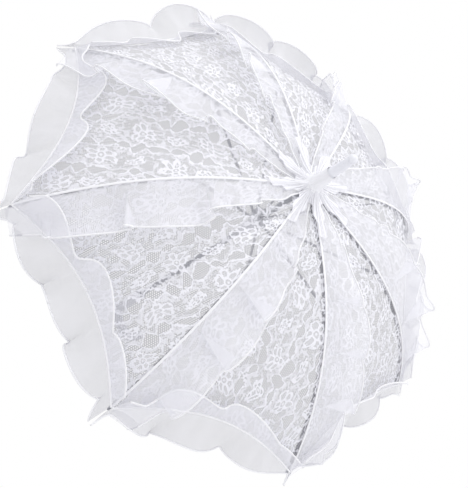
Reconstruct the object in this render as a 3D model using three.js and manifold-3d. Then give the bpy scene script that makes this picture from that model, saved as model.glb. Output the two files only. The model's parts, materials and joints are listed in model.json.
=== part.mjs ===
// A lace parasol: eight ribs and stretchers on a tubular shaft, a sliding runner, a crook handle
// and a canopy of eight gores, each made as two halves that fold about the seam on their rib.
import * as THREE from 'three';
import { mergeVertices } from 'three/addons/utils/BufferGeometryUtils.js';
import Module from 'manifold-3d';

const wasm = await Module();
wasm.setup();

// ---- driving dimensions, in millimetres; the origin is the centre of the hand grip ----
const RIBS = 8;
const STEP = (2 * Math.PI) / RIBS;
const FIRST_RIB = -Math.PI / 2 - STEP / 2;
const APEX_Z = 545;
const RIM_R = 350;
const RISE = 145;
const DOME_POWER = 2.87;
const GAP = 0.35;
const FIT = 0.3;
const ARC_STEPS = 12;

const CLOTH = 1;
const CLOTH_START_R = 11;
const HEM_DIP = 0.072;
const FRILL = { width: 40, slope: THREE.MathUtils.degToRad(40), rows: 2 };
const GORE_ROWS = 8;
const GORE_COLUMNS = 3;

const SHAFT = { r: 4, wall: 0.7, bottom: 32, top: APEX_Z + 58 };
const RIB = { w: 3, h: 3.6, sink: 4.2, pivotR: 12, eye: 2.2, hole: 0.95, steps: 14 };
const STRETCHER = { w: 1.8, h: 3.2, length: 176, rootR: 12.7, jointR: 165, eye: 1.9, hole: 0.95 };
const STRETCHER_SIDE = RIB.w / 2 + FIT + STRETCHER.w / 2;
const RIVET_DROP = 0.2;
const SLOT_REACH = 30;
const WIRE_R = 0.5;
const RUNNER_WIRE_R = STRETCHER.rootR + 0.25;
const GROOVE_R = 0.9;
const NOTCH = { r: 14.5, bore: SHAFT.r + FIT, top: APEX_Z - 1.8, height: 7.6, slotW: 4, slotR: 9 };
const RUNNER = { r: 8.2, bore: SHAFT.r + 0.4, crownR: 15.4, crownH: 7, length: 44, slotW: 3.2, slotR: 9.6 };
const RUNNER_FOOT = { proud: 1, height: 5, bevel: 2 };
const RUNNER_FLARE = 5;
const KEYWAY = { w: 2.6, r: 7.2 };
const CATCH = { w: 1.6, length: 26, back: -1.2, backTop: 0.4, root: 1.4, nose: 6.8, noseH: 3, slotW: 2.2 };
const TIP = { r: 1.9, length: 8 };
const HANDLE = { r: 8.5, top: 55, bend: -25, crook: 32, end: 14, socket: 24 };
const COLLAR = { r: 10, height: 7, neck: 2.4 };
const FERRULE = { bottom: APEX_Z + 0.6, length: 80, baseR: 7.6, topR: 6.1, bevel: 0.6, straight: 12 };
const FERRULE_TIP = { r: 6.6, band: 2, steps: 5 };
const ROSETTE = { inner: 8, outer: 34, height: 15, edge: 3.5, bulge: 2, shoulder: 8, brow: 3 };
const STOP_PIN = { r: 0.9, reach: 6.4, above: 2.2 };
const CATCH_GAP = 0.6;
const BOTTOM_CATCH_Z = 200;

// ---- finishes ----
const lace = () => new THREE.MeshStandardMaterial({ color: 0xf4f4f6, roughness: 0.85, metalness: 0 });
const plastic = () => new THREE.MeshStandardMaterial({ color: 0xf2f1ee, roughness: 0.3, metalness: 0 });
const steel = () => new THREE.MeshStandardMaterial({ color: 0xb9bbbe, roughness: 0.25, metalness: 1 });
const darkSteel = () => new THREE.MeshStandardMaterial({ color: 0x55585c, roughness: 0.4, metalness: 1 });

const parasol = new THREE.Group();

function place(parent, name, geometry, material) {
  const mesh = new THREE.Mesh(geometry, material);
  mesh.name = name;
  parent.add(mesh);
  return mesh;
}

// ---- booleans ----
function solidOf(geometry, matrix) {
  const bare = geometry.clone();
  bare.deleteAttribute('normal');
  bare.deleteAttribute('uv');
  if (matrix) bare.applyMatrix4(matrix);
  const merged = mergeVertices(bare, 1e-4);
  return new wasm.Manifold(new wasm.Mesh({
    numProp: 3,
    vertProperties: new Float32Array(merged.attributes.position.array),
    triVerts: new Uint32Array(merged.index.array),
  }));
}

function geometryOf(solid) {
  const mesh = solid.getMesh();
  const geometry = new THREE.BufferGeometry();
  geometry.setAttribute('position', new THREE.BufferAttribute(mesh.vertProperties, 3));
  geometry.setIndex(new THREE.BufferAttribute(mesh.triVerts, 1));
  geometry.computeVertexNormals();
  return geometry;
}

const moved = (x, y, z) => new THREE.Matrix4().makeTranslation(x, y, z);

// ---- shapes ----
// A lathe about +Z from [radius, height] points that start and end on the axis, or close on themselves.
function turned(points, segments) {
  const profile = points.map(([r, z]) => new THREE.Vector2(r, z));
  return new THREE.LatheGeometry(profile, segments).rotateX(Math.PI / 2);
}

function ring(inner, outer, low, high, segments) {
  return turned([[inner, low], [outer, low], [outer, high], [inner, high], [inner, low]], segments);
}

function boxBetween(x0, x1, y0, y1, z0, z1) {
  const box = new THREE.BoxGeometry(x1 - x0, y1 - y0, z1 - z0);
  return box.translate((x0 + x1) / 2, (y0 + y1) / 2, (z0 + z1) / 2);
}

// An outline in the X-Z plane, extruded across Y from y0 to y1.
function plate(shape, y0, y1) {
  const geometry = new THREE.ExtrudeGeometry(shape, {
    depth: y1 - y0, bevelEnabled: false, curveSegments: 5,
  });
  return geometry.rotateX(Math.PI / 2).translate(0, y1, 0);
}

// The dome's height below its apex over a rib, at a distance from the shaft.
const domeZ = (r) => -RISE * (r / RIM_R) ** DOME_POWER;

function domeSlope(r) {
  return Math.atan((RISE * DOME_POWER / RIM_R) * (r / RIM_R) ** (DOME_POWER - 1));
}

// A point of the rib's middle line, or one raised from it by lift, in the rib's own X-Z plane.
function ribPoint(r, lift) {
  const slope = domeSlope(r);
  const away = lift - RIB.sink;
  return new THREE.Vector2(r + away * Math.sin(slope), APEX_Z + domeZ(r) + away * Math.cos(slope));
}

const ribAngle = (k) => FIRST_RIB + STEP * k;

// ---- the shaft and what is fixed on it ----
const JOINT = ribPoint(STRETCHER.jointR, -RIVET_DROP);
const RUNNER_PIVOT_Z = JOINT.y - Math.sqrt(STRETCHER.length ** 2 - (JOINT.x - STRETCHER.rootR) ** 2);
const RUNNER_TOP_Z = RUNNER_PIVOT_Z + RUNNER.crownH / 2;
const RUNNER_BOTTOM_Z = RUNNER_TOP_Z - RUNNER.length;
const TOP_CATCH_Z = RUNNER_BOTTOM_Z - CATCH_GAP;
const STOP_PIN_Z = RUNNER_TOP_Z + STOP_PIN.above;

function shaft() {
  let tube = solidOf(ring(SHAFT.r - SHAFT.wall, SHAFT.r, SHAFT.bottom, SHAFT.top, 24));
  for (const z of [TOP_CATCH_Z, BOTTOM_CATCH_Z]) {
    const low = z - CATCH.length - 1;
    const slot = boxBetween(1, SHAFT.r + 2, -CATCH.slotW / 2, CATCH.slotW / 2, low, z + 1);
    tube = tube.subtract(solidOf(slot));
  }
  const hole = new THREE.CylinderGeometry(STOP_PIN.r + GAP, STOP_PIN.r + GAP, 3 * SHAFT.r, 10);
  tube = tube.subtract(solidOf(hole, moved(0, 0, STOP_PIN_Z)));
  return geometryOf(tube);
}

// A sprung leaf in the shaft's slot, its nose standing out under the runner.
function catchLeaf(topZ) {
  const shape = new THREE.Shape();
  shape.moveTo(CATCH.back, topZ - CATCH.length);
  shape.lineTo(CATCH.root, topZ - CATCH.length);
  shape.lineTo(CATCH.nose, topZ - CATCH.noseH);
  shape.lineTo(CATCH.nose, topZ);
  shape.lineTo(CATCH.backTop, topZ);
  shape.closePath();
  return plate(shape, -CATCH.w / 2, CATCH.w / 2);
}

function stopPin() {
  return new THREE.CylinderGeometry(STOP_PIN.r, STOP_PIN.r, 2 * STOP_PIN.reach, 10)
    .translate(0, 0, STOP_PIN_Z);
}

function ferrule() {
  const { bottom, length, baseR, topR, bevel, straight } = FERRULE;
  const roof = SHAFT.top + GAP;
  return turned([
    [0, roof], [SHAFT.r + FIT, roof], [SHAFT.r + FIT, bottom], [baseR - bevel, bottom],
    [baseR, bottom + bevel], [baseR, bottom + straight], [topR, bottom + length], [0, bottom + length],
  ], 24);
}

function ferruleTip() {
  const { r, band, steps } = FERRULE_TIP;
  const base = FERRULE.bottom + FERRULE.length + GAP;
  const points = [[0, base], [r, base], [r, base + band]];
  for (let i = 1; i <= steps; i++) {
    const a = (i / steps) * (Math.PI / 2);
    points.push([r * Math.cos(a), base + band + r * Math.sin(a)]);
  }
  points[points.length - 1][0] = 0;
  return turned(points, 24);
}

// A slotted disc with a wire groove, in which the inner ends of ribs or stretchers swing.
function slotted(disc, wireR, wireZ, slotW, slotR, slotSide, low, high) {
  let solid = disc;
  for (let k = 0; k < RIBS; k++) {
    const slot = boxBetween(slotR, SLOT_REACH, slotSide - slotW / 2, slotSide + slotW / 2, low, high);
    solid = solid.subtract(solidOf(slot, new THREE.Matrix4().makeRotationZ(ribAngle(k))));
  }
  const groove = new THREE.TorusGeometry(wireR, GROOVE_R, 6, 32);
  return geometryOf(solid.subtract(solidOf(groove, moved(0, 0, wireZ))));
}

function crownNotch() {
  const low = NOTCH.top - NOTCH.height;
  const disc = solidOf(ring(NOTCH.bore, NOTCH.r, low, NOTCH.top, 32));
  const wireZ = ribPoint(RIB.pivotR, 0).y;
  return slotted(disc, RIB.pivotR, wireZ, NOTCH.slotW, NOTCH.slotR, 0, low - 1, NOTCH.top + 1);
}

function pivotWire(radius, z) {
  return new THREE.TorusGeometry(radius, WIRE_R, 6, 32).translate(0, 0, z);
}

function rosette() {
  const { inner, outer, height, edge, bulge, shoulder, brow } = ROSETTE;
  const low = APEX_Z + 0.5;
  return turned([
    [inner, low], [outer, low], [outer + bulge, low + edge / 2], [outer, low + edge],
    [inner + shoulder, low + height - shoulder / 2], [inner + brow, low + height],
    [inner, low + height], [inner, low],
  ], 24);
}

// ---- the handle ----
function handle() {
  const { r, top, bend, crook, end, socket } = HANDLE;
  const points = [new THREE.Vector3(0, 0, top), new THREE.Vector3(0, 0, 0)];
  for (let i = 0; i <= ARC_STEPS; i++) {
    const a = Math.PI * (1 + i / ARC_STEPS);
    points.push(new THREE.Vector3(crook + crook * Math.cos(a), 0, bend + crook * Math.sin(a)));
  }
  points.push(new THREE.Vector3(2 * crook, 0, bend + end));
  const rod = new THREE.ExtrudeGeometry(new THREE.Shape().absarc(0, 0, r, 0, 2 * Math.PI), {
    steps: 26, bevelEnabled: false, curveSegments: 8,
    extrudePath: new THREE.CatmullRomCurve3(points, false, 'centripetal'),
  });
  const boreR = SHAFT.r + FIT;
  const bore = new THREE.CylinderGeometry(boreR, boreR, 2 * socket, 24).rotateX(Math.PI / 2);
  return geometryOf(solidOf(rod).subtract(solidOf(bore, moved(0, 0, top))));
}

function handleCollar() {
  const low = HANDLE.top + GAP;
  const { r, height, neck } = COLLAR;
  return turned([
    [SHAFT.r + FIT, low], [r, low], [r, low + height / 2], [r - neck, low + height],
    [SHAFT.r + FIT, low + height], [SHAFT.r + FIT, low],
  ], 24);
}

// ---- the runner ----
function runner() {
  const low = RUNNER_BOTTOM_Z;
  const top = RUNNER_TOP_Z;
  const crownLow = top - RUNNER.crownH;
  const { proud, height, bevel } = RUNNER_FOOT;
  const body = turned([
    [RUNNER.bore, low], [RUNNER.r + proud, low], [RUNNER.r + proud, low + height],
    [RUNNER.r, low + height + bevel], [RUNNER.r, crownLow - RUNNER_FLARE],
    [RUNNER.crownR, crownLow], [RUNNER.crownR, top], [RUNNER.bore, top], [RUNNER.bore, low],
  ], 32);
  const keyway = boxBetween(0, KEYWAY.r, -KEYWAY.w / 2, KEYWAY.w / 2, low - 1, top + 1);
  const disc = solidOf(body).subtract(solidOf(keyway));
  const { slotW, slotR } = RUNNER;
  return slotted(disc, RUNNER_WIRE_R, RUNNER_PIVOT_Z, slotW, slotR, STRETCHER_SIDE, crownLow - 6, top + 1);
}

// ---- ribs and stretchers ----
function eyeHole(x, z, r) {
  return new THREE.Path().absarc(x, z, r, 0, 2 * Math.PI);
}

// A rib lies in its own X-Z plane: an eye on the crown wire, then a bowed bar under the canopy.
function rib() {
  const start = RIB.pivotR + RIB.eye;
  const along = (i) => start + ((RIM_R - start) * i) / RIB.steps;
  const eye = ribPoint(RIB.pivotR, 0);
  const shape = new THREE.Shape();
  const first = ribPoint(start, RIB.h / 2);
  shape.moveTo(first.x, first.y);
  for (let i = 1; i <= RIB.steps; i++) {
    const p = ribPoint(along(i), RIB.h / 2);
    shape.lineTo(p.x, p.y);
  }
  for (let i = RIB.steps; i >= 0; i--) {
    const p = ribPoint(along(i), -RIB.h / 2);
    shape.lineTo(p.x, p.y);
  }
  const lower = Math.asin(RIB.h / 2 / RIB.eye);
  shape.absarc(eye.x, eye.y, RIB.eye, -lower, lower, true);
  shape.closePath();
  shape.holes.push(eyeHole(eye.x, eye.y, RIB.hole));
  return plate(shape, -RIB.w / 2, RIB.w / 2);
}

function ribTip() {
  const { r, length } = TIP;
  const cap = turned([
    [0, 0], [r * 0.75, 0], [r, 0.8], [r, length - r], [r * 0.7, length - 0.4 * r], [0, length],
  ], 10);
  const end = ribPoint(RIM_R, 0);
  const slope = domeSlope(RIM_R);
  const start = new THREE.Vector3(end.x + GAP * Math.cos(slope), 0, end.y - GAP * Math.sin(slope));
  return cap.rotateY(Math.PI / 2 + slope).translate(start.x, 0, start.z);
}

// A stretcher lies beside its rib, from the runner's wire up to the rib's rivet.
function stretcher() {
  const { length, rootR, h, w, eye, hole } = STRETCHER;
  const lean = Math.atan2(JOINT.y - RUNNER_PIVOT_Z, JOINT.x - rootR);
  const a = Math.asin(h / 2 / eye);
  const shape = new THREE.Shape();
  shape.absarc(0, 0, eye, a, 2 * Math.PI - a, false);
  shape.absarc(length, 0, eye, -Math.PI + a, Math.PI - a, false);
  shape.closePath();
  shape.holes.push(eyeHole(0, 0, hole));
  shape.holes.push(eyeHole(length, 0, hole));
  return plate(shape, STRETCHER_SIDE - w / 2, STRETCHER_SIDE + w / 2)
    .rotateY(-lean).translate(rootR, 0, RUNNER_PIVOT_Z);
}

// ---- the canopy ----
// Half a gore, from the seam over its rib (v = 0) to the gore's middle (v = 1), with its frill past the hem.
function clothPoint(row, v, side) {
  const hem = RIM_R * (1 - HEM_DIP * v * (2 - v));
  const share = Math.min(row / GORE_ROWS, 1);
  const r = CLOTH_START_R + (hem - CLOTH_START_R) * share;
  const seam = new THREE.Vector3(1, 0, 0);
  const middle = new THREE.Vector3(Math.cos(STEP / 2), side * Math.sin(STEP / 2), 0);
  const across = middle.clone().multiplyScalar(Math.cos(STEP / 2)).sub(seam);
  const reach = r * across.length();
  const inside = GAP + (reach - 2 * GAP) * v;
  const point = seam.clone().multiplyScalar(r).addScaledVector(across, (inside / reach) * r);
  point.z = APEX_Z + domeZ(r);
  if (row > GORE_ROWS) {
    const out = ((row - GORE_ROWS) / FRILL.rows) * FRILL.width;
    const away = seam.lerp(middle, v).normalize();
    if (v === 0) away.set(1, 0, 0);
    point.addScaledVector(away, out * Math.cos(FRILL.slope));
    point.z -= out * Math.sin(FRILL.slope);
  }
  return point;
}

function goreHalf(side) {
  const rows = GORE_ROWS + FRILL.rows;
  const columns = GORE_COLUMNS;
  const positions = [];
  for (const drop of [0, CLOTH]) {
    for (let i = 0; i <= rows; i++) {
      for (let j = 0; j <= columns; j++) {
        const p = clothPoint(i, j / columns, side);
        positions.push(p.x, p.y, p.z - drop);
      }
    }
  }
  const lower = (rows + 1) * (columns + 1);
  const at = (i, j, level) => level * lower + i * (columns + 1) + j;
  const index = [];
  const quad = (a, b, c, d) => (side > 0 ? index.push(a, b, c, a, c, d) : index.push(a, c, b, a, d, c));
  for (let i = 0; i < rows; i++) {
    for (let j = 0; j < columns; j++) {
      quad(at(i, j, 0), at(i + 1, j, 0), at(i + 1, j + 1, 0), at(i, j + 1, 0));
      quad(at(i, j, 1), at(i, j + 1, 1), at(i + 1, j + 1, 1), at(i + 1, j, 1));
    }
    quad(at(i, 0, 0), at(i, 0, 1), at(i + 1, 0, 1), at(i + 1, 0, 0));
    quad(at(i, columns, 0), at(i + 1, columns, 0), at(i + 1, columns, 1), at(i, columns, 1));
  }
  for (let j = 0; j < columns; j++) {
    quad(at(0, j, 0), at(0, j + 1, 0), at(0, j + 1, 1), at(0, j, 1));
    quad(at(rows, j, 0), at(rows, j, 1), at(rows, j + 1, 1), at(rows, j + 1, 0));
  }
  const geometry = new THREE.BufferGeometry();
  geometry.setAttribute('position', new THREE.Float32BufferAttribute(positions, 3));
  geometry.setIndex(index);
  return geometry;
}

// ---- assembly ----
place(parasol, 'shaft', shaft(), steel());
place(parasol, 'top_catch', catchLeaf(TOP_CATCH_Z), steel());
place(parasol, 'bottom_catch', catchLeaf(BOTTOM_CATCH_Z), steel());
place(parasol, 'runner_stop_pin', stopPin(), steel());
place(parasol, 'ferrule', ferrule(), plastic());
place(parasol, 'ferrule_tip', ferruleTip(), plastic());
place(parasol, 'crown_notch', crownNotch(), plastic());
place(parasol, 'crown_wire', pivotWire(RIB.pivotR, ribPoint(RIB.pivotR, 0).y), steel());
place(parasol, 'rosette', rosette(), lace());
place(parasol, 'handle', handle(), plastic());
place(parasol, 'handle_collar', handleCollar(), plastic());
place(parasol, 'runner', runner(), plastic());
place(parasol, 'runner_wire', pivotWire(RUNNER_WIRE_R, RUNNER_PIVOT_Z), steel());

for (let k = 0; k < RIBS; k++) {
  const arm = new THREE.Group();
  arm.rotation.z = ribAngle(k);
  parasol.add(arm);
  const before = ((k + RIBS - 1) % RIBS) + 1;
  place(arm, `rib_${k + 1}`, rib(), darkSteel());
  place(arm, `rib_tip_${k + 1}`, ribTip(), steel());
  place(arm, `stretcher_${k + 1}`, stretcher(), darkSteel());
  place(arm, `gore_${k + 1}_left`, goreHalf(1), lace());
  place(arm, `gore_${before}_right`, goreHalf(-1), lace());
}

export default parasol;
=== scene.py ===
"""Builds the looks of a lace parasol round its fixed frame: lace gores, organza frills with merrowed
edges, the gathered rosette, and the metal and plastic parts. Metres, +Z along the shaft to the ferrule."""

import json
import math

import bpy
import numpy as np
from bpy.props import FloatProperty, FloatVectorProperty, PointerProperty
from bpy.types import Operator, Panel, PropertyGroup
from mathutils import Matrix, Vector


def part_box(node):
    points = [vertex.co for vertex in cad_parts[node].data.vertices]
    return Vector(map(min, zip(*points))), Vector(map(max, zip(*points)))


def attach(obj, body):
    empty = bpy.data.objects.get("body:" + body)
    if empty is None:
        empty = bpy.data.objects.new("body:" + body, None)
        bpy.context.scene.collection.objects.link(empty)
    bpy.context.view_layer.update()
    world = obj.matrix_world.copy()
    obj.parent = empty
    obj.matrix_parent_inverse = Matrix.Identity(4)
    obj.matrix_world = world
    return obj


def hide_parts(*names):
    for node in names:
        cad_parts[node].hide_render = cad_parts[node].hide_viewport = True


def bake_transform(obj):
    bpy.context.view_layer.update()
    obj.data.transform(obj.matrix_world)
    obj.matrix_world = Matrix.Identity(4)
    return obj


bl_info = {
    "name": "Lace Parasol",
    "version": (1, 0, 0),
    "blender": (4, 5, 0),
    "location": "View3D > Sidebar > Parasol",
    "description": "Builds a frilled lace parasol round its frame",
    "category": "Object",
}

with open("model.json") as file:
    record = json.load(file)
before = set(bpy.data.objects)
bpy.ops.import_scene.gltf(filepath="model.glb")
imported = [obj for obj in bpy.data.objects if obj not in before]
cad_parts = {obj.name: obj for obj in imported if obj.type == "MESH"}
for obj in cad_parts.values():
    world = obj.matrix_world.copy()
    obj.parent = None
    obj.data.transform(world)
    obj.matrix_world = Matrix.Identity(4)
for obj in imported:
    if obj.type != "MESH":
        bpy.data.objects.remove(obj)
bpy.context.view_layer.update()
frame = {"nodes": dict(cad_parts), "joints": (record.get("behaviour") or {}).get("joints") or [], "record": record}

MM = 0.001
RIBS = 8
STEP = 2 * math.pi / RIBS
FIRST_RIB = -math.pi / 2 - STEP / 2
APEX_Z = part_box("gore_1_left")[1].z
BODY_OF = {n: b for b, nodes in frame["record"]["behaviour"]["bodies"].items() for n in nodes}
RIB_ROOT = Vector(next(j["pos_m"] for j in frame["joints"] if j["name"] == "rib_1_fold"))

# ---- places on the shaft and ribs
BORE_R = 4.3 * MM  # of the parts that fit over the shaft
RIB_SINK = 4.2 * MM  # from the dome's surface down to a rib's middle line
JOINT_R = 0.165  # where a stretcher meets its rib, from the shaft
TIE_R = (0.095, 0.235, 0.315)  # the thread ties on a rib, from the shaft

# ---- the lace's pattern, in metres of cloth
LACE_ROW = 0.042  # from one row of flowers to the next
LACE_REPEAT = 0.096  # from flower to flower along a row
LACE_EYE = 0.048  # two eyes along a chain
LACE_SWAY = 0.026  # the whole pattern wanders by up to half of this
LACE_ROUGH = 0.0060  # worked edges waver by up to half of this
FLOWER = {"size": 0.0112, "petals": 6, "stretch": 1.75}
BUD = {"size": 0.0070, "petals": 5, "stretch": 2.2}
VEIN_CELL = (0.0070, 0.0170)  # the cells between worked veins, across and along
NET_PITCH = 0.0024
SINE_60 = 0.866
WEAVE_PITCH = 0.0009
TWIST_PITCH = 0.0016  # of the merrowed edges' thread

# ---- how the cloth is cut and sewn
LACE_START = 9 * MM  # the lace's inner edge, from the shaft
FRILL_START = 0.045  # a seam frill's ends, as shares of the way out along the rib
FRILL_END = 1.02
FRILL_TILT = (16, 16, 20, 34, 40, 30, 20, 16)  # degrees each seam frill stands off the lace
RAISED_SIDE = math.radians(108)  # the rim frill stands up most on this side
GATHER_R = 8.2  # millimetres, cloth gathered tight round the ferrule
GATHER_LOW = -4 * MM  # gathered cloth follows the dome no further below the apex

# ---- the light and the camera
SKY_TINT = (0.965, 0.965, 1.0)
SKY_STRENGTH = 0.90
SENSOR_WIDTH = 36.0  # millimetres
CAMERA_AIM = (0.0116, 0.0013, -0.1907)  # from the shaft's axis and the apex


# ---------------------------------------------------------------- settings
class CanopySettings(PropertyGroup):
    rim_radius: FloatProperty(
        name="Rim radius", description="Shaft to rib tip, seen from above", default=0.350, unit="LENGTH"
    )
    rise: FloatProperty(name="Rise", description="Rib tips to apex", default=0.145, unit="LENGTH")
    dome_power: FloatProperty(name="Dome power", description="How late the ribs bend down", default=2.87)
    hem_dip: FloatProperty(
        name="Hem dip", description="How far the hem arches in between two ribs, as a share", default=0.072
    )
    sag: FloatProperty(
        name="Sag", description="How far a gore dips between ribs", default=0.005, unit="LENGTH"
    )
    fold_reach: FloatProperty(
        name="Fold reach",
        description="Width beside a rib over which lace folds",
        default=0.060,
        unit="LENGTH",
    )
    lace_color: FloatVectorProperty(
        name="Lace", description="Colour of the lace's cords", subtype="COLOR", default=(0.91, 0.91, 0.95)
    )
    # painted shade: the net is white cloth, given this dark grey to stand for the shade seen through the lace
    net_painted_shade_color: FloatVectorProperty(
        name="Net", description="Colour of the fine net", subtype="COLOR", default=(0.43, 0.43, 0.46)
    )


class FrillSettings(PropertyGroup):
    seam_width: FloatProperty(
        name="Seam frill", description="Its width", default=0.053, unit="LENGTH"
    )
    rim_width: FloatProperty(
        name="Rim frill", description="Its width past the hem", default=0.043, unit="LENGTH"
    )
    heading: FloatProperty(
        name="Heading", description="Its width inside the hem", default=0.028, unit="LENGTH"
    )
    edge_radius: FloatProperty(
        name="Edge", description="Merrowed edge's radius", default=0.0011, unit="LENGTH"
    )
    organza_color: FloatVectorProperty(
        name="Organza",
        description="Colour of the sheer cloth",
        subtype="COLOR",
        default=(0.935, 0.935, 0.970),
    )
    thread_color: FloatVectorProperty(
        name="Thread", description="Colour of edges and seams", subtype="COLOR", default=(0.97, 0.97, 0.98)
    )


class StageSettings(PropertyGroup):
    azimuth: FloatProperty(
        name="Azimuth", description="Camera's direction", default=math.radians(6.15), unit="ROTATION"
    )
    elevation: FloatProperty(
        name="Elevation", description="Camera's height angle", default=math.radians(48.6), unit="ROTATION"
    )
    roll: FloatProperty(
        name="Roll", description="Camera's roll", default=math.radians(-58.24), unit="ROTATION"
    )
    distance: FloatProperty(
        name="Distance", description="Camera to the shaft", default=1.073, unit="LENGTH"
    )
    lens: FloatProperty(name="Lens", description="Focal length in millimetres", default=51.6)
    floor_drop: FloatProperty(
        name="Floor", description="Floor below the handle", default=0.75, unit="LENGTH"
    )


class ParasolSettings(PropertyGroup):
    canopy: PointerProperty(type=CanopySettings)
    frill: PointerProperty(type=FrillSettings)
    stage: PointerProperty(type=StageSettings)


def settings():
    return bpy.context.scene.parasol


# ---------------------------------------------------------------- node helpers
class Graph:
    """A small writer of shader nodes: every call adds a node and returns its output socket."""

    def __init__(self, tree):
        self.nodes, self.links = tree.nodes, tree.links

    def add(self, kind, inputs=(), out=0, **attributes):
        node = self.nodes.new(kind)
        for key, value in attributes.items():
            setattr(node, key, value)
        for key, value in dict(inputs).items():
            if isinstance(value, bpy.types.NodeSocket):
                self.links.new(value, node.inputs[key])
            elif value is not None:
                node.inputs[key].default_value = value
        return node.outputs[out]

    def math(self, operation, a, b=None, c=None, clamp=False):
        return self.add("ShaderNodeMath", {0: a, 1: b, 2: c}, operation=operation, use_clamp=clamp)

    def vector(self, operation, a, b=None, out=0):
        return self.add("ShaderNodeVectorMath", {0: a, 1: b}, out=out, operation=operation)

    def ramp(self, value, low, high, to_low=0.0, to_high=1.0):
        return self.add(
            "ShaderNodeMapRange",
            {0: value, 1: low, 2: high, 3: to_low, 4: to_high},
            interpolation_type="SMOOTHSTEP",
        )

    def band(self, value, half, soft):
        """1 where |value| is under half, falling to 0 over soft."""
        return self.ramp(self.math("ABSOLUTE", value), half, half + soft, 1.0, 0.0)

    def noise(self, vector, scale, detail=2.0, out=0, dims="3D"):
        return self.add(
            "ShaderNodeTexNoise",
            {"Vector": vector, "Scale": scale, "Detail": detail},
            out=out,
            noise_dimensions=dims,
        )

    def mix(self, factor, a, b):
        return self.add(
            "ShaderNodeMix", {0: factor, 6: a, 7: b}, out=2, data_type="RGBA", clamp_factor=True
        )

    def split(self, vector):
        node = self.nodes.new("ShaderNodeSeparateXYZ")
        self.links.new(vector, node.inputs[0])
        return node.outputs

    def join(self, x, y, z=0.0):
        return self.add("ShaderNodeCombineXYZ", {0: x, 1: y, 2: z})


def group(name, ins, outs, build):
    """A shader node group that build fills from its inputs, made once."""
    tree = bpy.data.node_groups.get(name)
    if tree:
        return tree
    tree = bpy.data.node_groups.new(name, "ShaderNodeTree")
    for label, kind in ins:
        tree.interface.new_socket(label, in_out="INPUT", socket_type=kind)
    for label, kind in outs:
        tree.interface.new_socket(label, in_out="OUTPUT", socket_type=kind)
    entry, leave = tree.nodes.new("NodeGroupInput"), tree.nodes.new("NodeGroupOutput")
    for label, socket in build(Graph(tree), entry.outputs).items():
        tree.links.new(socket, leave.inputs[label])
    return tree


FLOAT, VECTOR = "NodeSocketFloat", "NodeSocketVector"


def use(graph, tree, inputs):
    """Place a node group with its inputs, and return all its outputs."""
    node = graph.nodes.new("ShaderNodeGroup")
    node.node_tree = tree
    for key, value in inputs.items():
        if isinstance(value, bpy.types.NodeSocket):
            graph.links.new(value, node.inputs[key])
        else:
            node.inputs[key].default_value = value
    return node.outputs


# ---------------------------------------------------------------- the lace's pattern
def wander(g, cloth, scale, detail, reach):
    """The cloth's coordinate, pushed to all sides by noise."""
    sway = g.vector("SUBTRACT", g.noise(cloth, scale, detail, out=1, dims="2D"), (0.5, 0.5, 0.5))
    push = g.add("ShaderNodeVectorMath", {0: sway, 3: reach}, operation="SCALE")
    return g.vector("ADD", cloth, push)


def blossom(g, across, along, rough, offset, size, petals, stretch):
    """A flower's worked area, and the distance past its edge: slotted petals round an open eye."""
    y = g.math("DIVIDE", g.math("SUBTRACT", along, offset), stretch)
    radius = g.vector("LENGTH", g.join(across, y), out=1)
    angle = g.math("ARCTAN2", y, across)
    lobe = g.math("ABSOLUTE", g.math("COSINE", g.math("MULTIPLY", angle, petals / 2)))
    petal = g.math("MULTIPLY_ADD", g.math("POWER", lobe, 0.5), size * 0.40, size * 0.66)
    edge = g.math("ADD", g.math("SUBTRACT", radius, petal), rough)
    body = g.ramp(edge, 0.0, 0.0007, 1.0, 0.0)
    deep = g.ramp(g.math("ADD", edge, 0.0030), 0.0, 0.0009, 1.0, 0.0)
    middle = g.math("MULTIPLY", g.ramp(radius, size * 0.36, size * 0.46), g.ramp(lobe, 0.50, 0.72))
    slot = g.math("MULTIPLY", deep, middle)
    heart = g.ramp(radius, size * 0.22, size * 0.28, 1.0, 0.0)
    eye = g.math("MULTIPLY", g.ramp(radius, size * 0.10, size * 0.14), heart)
    holes = g.math("MULTIPLY_ADD", eye, 0.75, g.math("MULTIPLY", slot, 0.72), clamp=True)
    return g.math("MULTIPLY", body, g.math("SUBTRACT", 1.0, holes)), edge


def chain(g, cloth, v, across, rough):
    """The cords on both sides of a row of open eyes between two rows of flowers, and the eyes."""
    depth = g.math("MULTIPLY_ADD", g.noise(cloth, 24.0, 1.0, dims="2D"), 0.010, 0.0008)
    wave = g.math("COSINE", g.math("MULTIPLY", v, 2 * math.pi / LACE_EYE))
    middle = g.math("SUBTRACT", LACE_ROW / 2, g.math("ABSOLUTE", across))
    half = g.math("MULTIPLY_ADD", g.math("ABSOLUTE", wave), depth, 0.0014)
    rim = g.math("ADD", g.math("SUBTRACT", middle, half), rough)
    cord = g.band(rim, 0.0010, 0.0007)
    second = g.math("MULTIPLY", g.band(g.math("SUBTRACT", rim, 0.0030), 0.0005, 0.0006), 0.8)
    window = g.ramp(rim, -0.0016, -0.0008, 1.0, 0.0)
    return g.math("MAXIMUM", cord, second), window


def veins(g, cloth):
    """Worked cords between long cells, broad in some places and missing in others."""
    across, along = VEIN_CELL
    cells = g.add(
        "ShaderNodeTexVoronoi",
        {
            "Vector": g.vector("MULTIPLY", wander(g, cloth, 120.0, 2.0, 0.010), (1 / across, 1 / along, 1.0)),
            "Scale": 1.0,
            "Randomness": 0.9,
        },
        voronoi_dimensions="2D",
        feature="DISTANCE_TO_EDGE",
    )
    width = g.math("MULTIPLY_ADD", g.noise(cloth, 45.0, 1.0, dims="2D"), 0.42, -0.10)
    return g.ramp(g.math("SUBTRACT", cells, width), -0.02, 0.06, 1.0, 0.0)


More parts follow.
